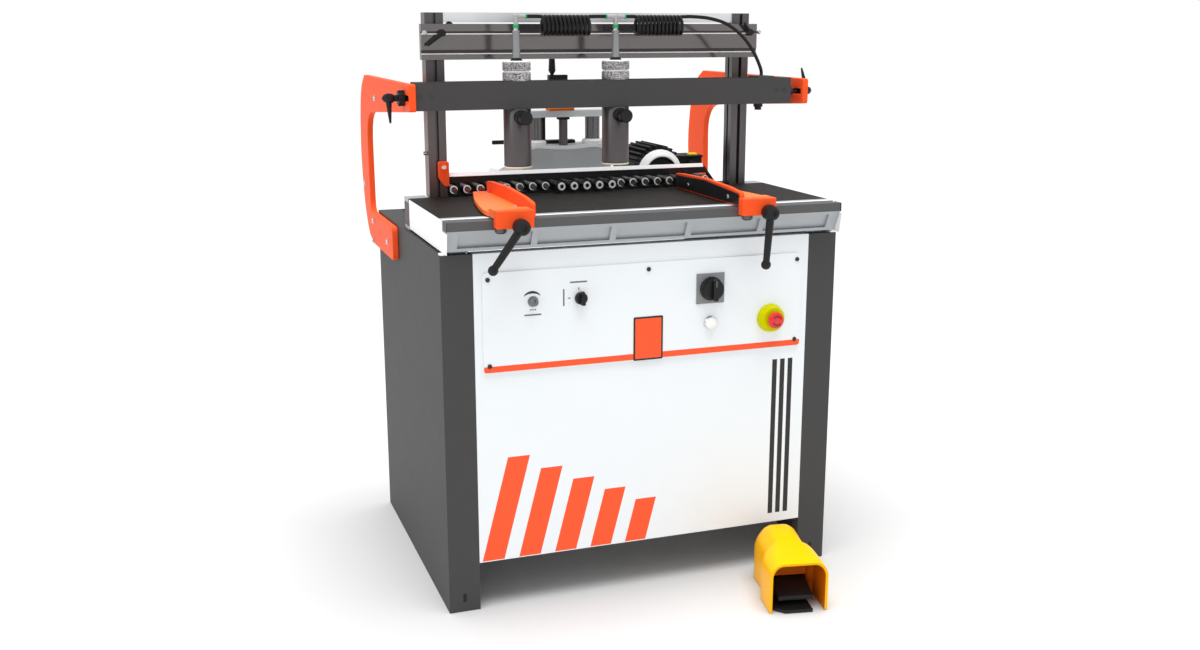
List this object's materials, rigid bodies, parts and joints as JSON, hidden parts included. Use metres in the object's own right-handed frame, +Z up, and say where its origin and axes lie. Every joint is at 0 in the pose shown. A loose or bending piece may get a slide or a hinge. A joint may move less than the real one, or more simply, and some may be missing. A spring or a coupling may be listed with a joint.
{
  "type": "dowel boring machine",
  "caption": "Cabinet dowel boring machine with a coupled spindle row, a tilting head, two air clamps on a beam, side fences and a foot pedal.",
  "frame": {"origin": "centre of the machine's box on the floor", "axes": "+X along the spindle row to the operator's right, +Y away from the operator, +Z up"},
  "size_m": [1.0758, 1.124, 1.2946],
  "materials": {
    "cabinet_paint": "dark grey fine powder coat",
    "panel_paint": "pale blue-white satin powder coat",
    "orange_paint": "orange satin powder coat",
    "casting": "silver-grey hammered casting paint",
    "table_finish": "near-black speckled hard coat",
    "anodised": "dark grey satin anodised",
    "aluminium": "milled aluminium",
    "bright_steel": "bright nickel",
    "steel_dark": "dark oiled steel",
    "black_plastic": "black moulded plastic",
    "red_plastic": "glossy red",
    "yellow_plastic": "glossy warm yellow",
    "cream_plastic": "cream pad",
    "hose": "black glossy polyurethane hose",
    "motor_paint": "black motor paint"
  },
  "bodies": {
    "root": {"left_side_panel": "cabinet_paint", "right_side_panel": "cabinet_paint", "front_panel": "panel_paint", "rear_cover": "panel_paint", "table_casting": "casting", "table_top": "table_finish", "front_rail": "anodised", "control_panel": "panel_paint", "left_arm": "orange_paint", "right_arm": "orange_paint", "pedal_shield": "yellow_plastic"},
    "tilt": {"tilt_frame": "casting", "fence_bar": "anodised", "left_upright": "anodised", "right_upright": "anodised", "upright_brace": "aluminium"},
    "feed": {"feed_carriage": "bright_steel"},
    "head": {"gear_housing": "casting", "motor": "motor_paint"},
    "crank": {"lift_crank": "steel_dark"},
    "bar": {"top_bar": "anodised"},
    "presser": {"presser_beam": "cabinet_paint", "supply_hose": "hose"},
    "left_arm_lever": {"left_arm_lever": "black_plastic"},
    "right_arm_lever": {"right_arm_lever": "black_plastic"},
    "right_clamp": {"right_clamp_cylinder": "bright_steel", "link_hose": "hose"},
    "left_clamp": {"left_clamp_cylinder": "bright_steel"},
    "left_piston": {"left_piston": "cream_plastic"},
    "right_piston": {"right_piston": "cream_plastic"},
    "left_fence": {"left_side_fence": "orange_paint"},
    "right_fence": {"right_side_fence": "orange_paint"},
    "left_fence_lever": {"left_fence_lever": "black_plastic"},
    "right_fence_lever": {"right_fence_lever": "black_plastic"},
    "main_switch": {"main_switch_knob": "black_plastic"},
    "selector": {"selector_knob": "black_plastic"},
    "speed": {"speed_knob": "black_plastic"},
    "stop": {"stop_button": "red_plastic"},
    "pedal_plate": {"pedal": "black_plastic"},
    "spindle_01": {"spindle_01": "steel_dark"},
    "spindle_02": {"spindle_02": "steel_dark"},
    "spindle_03": {"spindle_03": "steel_dark"},
    "spindle_04": {"spindle_04": "steel_dark"},
    "spindle_05": {"spindle_05": "steel_dark"},
    "spindle_06": {"spindle_06": "steel_dark"},
    "spindle_07": {"spindle_07": "steel_dark"},
    "spindle_08": {"spindle_08": "steel_dark"},
    "spindle_09": {"spindle_09": "steel_dark"},
    "spindle_10": {"spindle_10": "steel_dark"},
    "spindle_11": {"spindle_11": "steel_dark"},
    "spindle_12": {"spindle_12": "steel_dark"},
    "spindle_13": {"spindle_13": "steel_dark"},
    "spindle_14": {"spindle_14": "steel_dark"},
    "spindle_15": {"spindle_15": "steel_dark"},
    "spindle_16": {"spindle_16": "steel_dark"},
    "spindle_17": {"spindle_17": "steel_dark"},
    "spindle_18": {"spindle_18": "steel_dark"},
    "spindle_19": {"spindle_19": "steel_dark"},
    "spindle_20": {"spindle_20": "steel_dark"},
    "spindle_21": {"spindle_21": "steel_dark"}
  },
  "joints": [
    {"name": "head_tilt", "type": "hinge", "parent": "root", "child": "tilt", "pos_m": [0.00564, 0.0826, 0.854], "axis": [-1, 0, 0], "range_deg": [0, 90]},
    {"name": "head_feed", "type": "slide", "parent": "tilt", "child": "feed", "axis": [0, -1, 0], "range_m": [-0.045, 0.004]},
    {"name": "head_lift", "type": "slide", "parent": "feed", "child": "head", "axis": [0, 0, 1], "range_m": [-0.0025, 0.004]},
    {"name": "crank_turn", "type": "hinge", "parent": "feed", "child": "crank", "pos_m": [-0.02436, 0.2016, 1.135], "axis": [0, 0, 1], "range_deg": [-600, 960]},
    {"name": "top_bar_slide", "type": "slide", "parent": "tilt", "child": "bar", "axis": [0, 0, 1], "range_m": [-0.2, 0.02]},
    {"name": "presser_slide", "type": "slide", "parent": "root", "child": "presser", "axis": [0, 1, 0], "range_m": [-0.04, 0.02]},
    {"name": "left_arm_lever_turn", "type": "hinge", "parent": "presser", "child": "left_arm_lever", "pos_m": [-0.48436, -0.0584, 1.112], "axis": [1, 0, 0], "range_deg": [-45, 90]},
    {"name": "right_arm_lever_turn", "type": "hinge", "parent": "presser", "child": "right_arm_lever", "pos_m": [0.49564, -0.0584, 1.112], "axis": [1, 0, 0], "range_deg": [-90, 45]},
    {"name": "right_clamp_slide", "type": "slide", "parent": "presser", "child": "right_clamp", "axis": [1, 0, 0], "range_m": [-0.1, 0.1], "deforming": ["supply_hose"]},
    {"name": "left_clamp_slide", "type": "slide", "parent": "right_clamp", "child": "left_clamp", "axis": [1, 0, 0], "range_m": [-0.06, 0.06], "deforming": ["link_hose"]},
    {"name": "left_piston_stroke", "type": "slide", "parent": "left_clamp", "child": "left_piston", "axis": [0, 0, -1], "range_m": [0, 0.06]},
    {"name": "right_piston_stroke", "type": "slide", "parent": "right_clamp", "child": "right_piston", "axis": [0, 0, -1], "range_m": [0, 0.06]},
    {"name": "left_fence_slide", "type": "slide", "parent": "root", "child": "left_fence", "axis": [-1, 0, 0], "range_m": [-0.064, 0.064]},
    {"name": "right_fence_slide", "type": "slide", "parent": "root", "child": "right_fence", "axis": [1, 0, 0], "range_m": [-0.064, 0.096]},
    {"name": "left_fence_lever_turn", "type": "hinge", "parent": "left_fence", "child": "left_fence_lever", "pos_m": [-0.29936, -0.3717, 0.863], "axis": [0, 1, 0], "range_deg": [-90, 90]},
    {"name": "right_fence_lever_turn", "type": "hinge", "parent": "right_fence", "child": "right_fence_lever", "pos_m": [0.26364, -0.3717, 0.867], "axis": [0, 1, 0], "range_deg": [-90, 90]},
    {"name": "main_switch_turn", "type": "hinge", "parent": "root", "child": "main_switch", "pos_m": [0.15414, -0.3184, 0.693], "axis": [0, 1, 0], "range_deg": [0, 90]},
    {"name": "selector_turn", "type": "hinge", "parent": "root", "child": "selector", "pos_m": [-0.15336, -0.3134, 0.693], "axis": [0, 1, 0], "range_deg": [0, 90]},
    {"name": "speed_knob_turn", "type": "hinge", "parent": "root", "child": "speed", "pos_m": [-0.26036, -0.3134, 0.693], "axis": [0, 1, 0], "range_deg": [0, 270]},
    {"name": "stop_press", "type": "slide", "parent": "root", "child": "stop", "axis": [0, 1, 0], "range_m": [0, 0.006], "stiffness_N_per_m": 400, "springref_m": -0.002},
    {"name": "pedal_press", "type": "hinge", "parent": "root", "child": "pedal_plate", "pos_m": [0.29926, -0.40216, 0.042], "axis": [0.9816, -0.1908, 0], "range_deg": [0, 5], "stiffness_Nm_per_rad": 8, "springref_deg": -4.58},
    {"name": "spindle_01_spin", "type": "hinge", "parent": "head", "child": "spindle_01", "pos_m": [-0.34436, 0.0916, 0.893], "axis": [0, 1, 0], "continuous": true},
    {"name": "spindle_02_spin", "type": "hinge", "parent": "head", "child": "spindle_02", "pos_m": [-0.31236, 0.0916, 0.893], "axis": [0, 1, 0], "continuous": true},
    {"name": "spindle_03_spin", "type": "hinge", "parent": "head", "child": "spindle_03", "pos_m": [-0.28036, 0.0916, 0.893], "axis": [0, 1, 0], "continuous": true},
    {"name": "spindle_04_spin", "type": "hinge", "parent": "head", "child": "spindle_04", "pos_m": [-0.24836, 0.0916, 0.893], "axis": [0, 1, 0], "continuous": true},
    {"name": "spindle_05_spin", "type": "hinge", "parent": "head", "child": "spindle_05", "pos_m": [-0.21636, 0.0916, 0.893], "axis": [0, 1, 0], "continuous": true},
    {"name": "spindle_06_spin", "type": "hinge", "parent": "head", "child": "spindle_06", "pos_m": [-0.18436, 0.0916, 0.893], "axis": [0, 1, 0], "continuous": true},
    {"name": "spindle_07_spin", "type": "hinge", "parent": "head", "child": "spindle_07", "pos_m": [-0.15236, 0.0916, 0.893], "axis": [0, 1, 0], "continuous": true},
    {"name": "spindle_08_spin", "type": "hinge", "parent": "head", "child": "spindle_08", "pos_m": [-0.12036, 0.0916, 0.893], "axis": [0, 1, 0], "continuous": true},
    {"name": "spindle_09_spin", "type": "hinge", "parent": "head", "child": "spindle_09", "pos_m": [-0.08836, 0.0916, 0.893], "axis": [0, 1, 0], "continuous": true},
    {"name": "spindle_10_spin", "type": "hinge", "parent": "head", "child": "spindle_10", "pos_m": [-0.05636, 0.0916, 0.893], "axis": [0, 1, 0], "continuous": true},
    {"name": "spindle_11_spin", "type": "hinge", "parent": "head", "child": "spindle_11", "pos_m": [-0.02436, 0.0916, 0.893], "axis": [0, 1, 0], "continuous": true},
    {"name": "spindle_12_spin", "type": "hinge", "parent": "head", "child": "spindle_12", "pos_m": [0.00764, 0.0916, 0.893], "axis": [0, 1, 0], "continuous": true},
    {"name": "spindle_13_spin", "type": "hinge", "parent": "head", "child": "spindle_13", "pos_m": [0.03964, 0.0916, 0.893], "axis": [0, 1, 0], "continuous": true},
    {"name": "spindle_14_spin", "type": "hinge", "parent": "head", "child": "spindle_14", "pos_m": [0.07164, 0.0916, 0.893], "axis": [0, 1, 0], "continuous": true},
    {"name": "spindle_15_spin", "type": "hinge", "parent": "head", "child": "spindle_15", "pos_m": [0.10364, 0.0916, 0.893], "axis": [0, 1, 0], "continuous": true},
    {"name": "spindle_16_spin", "type": "hinge", "parent": "head", "child": "spindle_16", "pos_m": [0.13564, 0.0916, 0.893], "axis": [0, 1, 0], "continuous": true},
    {"name": "spindle_17_spin", "type": "hinge", "parent": "head", "child": "spindle_17", "pos_m": [0.16764, 0.0916, 0.893], "axis": [0, 1, 0], "continuous": true},
    {"name": "spindle_18_spin", "type": "hinge", "parent": "head", "child": "spindle_18", "pos_m": [0.19964, 0.0916, 0.893], "axis": [0, 1, 0], "continuous": true},
    {"name": "spindle_19_spin", "type": "hinge", "parent": "head", "child": "spindle_19", "pos_m": [0.23164, 0.0916, 0.893], "axis": [0, 1, 0], "continuous": true},
    {"name": "spindle_20_spin", "type": "hinge", "parent": "head", "child": "spindle_20", "pos_m": [0.26364, 0.0916, 0.893], "axis": [0, 1, 0], "continuous": true},
    {"name": "spindle_21_spin", "type": "hinge", "parent": "head", "child": "spindle_21", "pos_m": [0.29564, 0.0916, 0.893], "axis": [0, 1, 0], "continuous": true}
  ],
  "couplings": [
    {"joint": "crank_turn", "follows": "head_lift", "rad_per_m": 4188.8},
    {"joint": "spindle_01_spin", "follows": "spindle_11_spin", "ratio": 1},
    {"joint": "spindle_02_spin", "follows": "spindle_11_spin", "ratio": -1},
    {"joint": "spindle_03_spin", "follows": "spindle_11_spin", "ratio": 1},
    {"joint": "spindle_04_spin", "follows": "spindle_11_spin", "ratio": -1},
    {"joint": "spindle_05_spin", "follows": "spindle_11_spin", "ratio": 1},
    {"joint": "spindle_06_spin", "follows": "spindle_11_spin", "ratio": -1},
    {"joint": "spindle_07_spin", "follows": "spindle_11_spin", "ratio": 1},
    {"joint": "spindle_08_spin", "follows": "spindle_11_spin", "ratio": -1},
    {"joint": "spindle_09_spin", "follows": "spindle_11_spin", "ratio": 1},
    {"joint": "spindle_10_spin", "follows": "spindle_11_spin", "ratio": -1},
    {"joint": "spindle_12_spin", "follows": "spindle_11_spin", "ratio": -1},
    {"joint": "spindle_13_spin", "follows": "spindle_11_spin", "ratio": 1},
    {"joint": "spindle_14_spin", "follows": "spindle_11_spin", "ratio": -1},
    {"joint": "spindle_15_spin", "follows": "spindle_11_spin", "ratio": 1},
    {"joint": "spindle_16_spin", "follows": "spindle_11_spin", "ratio": -1},
    {"joint": "spindle_17_spin", "follows": "spindle_11_spin", "ratio": 1},
    {"joint": "spindle_18_spin", "follows": "spindle_11_spin", "ratio": -1},
    {"joint": "spindle_19_spin", "follows": "spindle_11_spin", "ratio": 1},
    {"joint": "spindle_20_spin", "follows": "spindle_11_spin", "ratio": -1},
    {"joint": "spindle_21_spin", "follows": "spindle_11_spin", "ratio": 1}
  ]
}
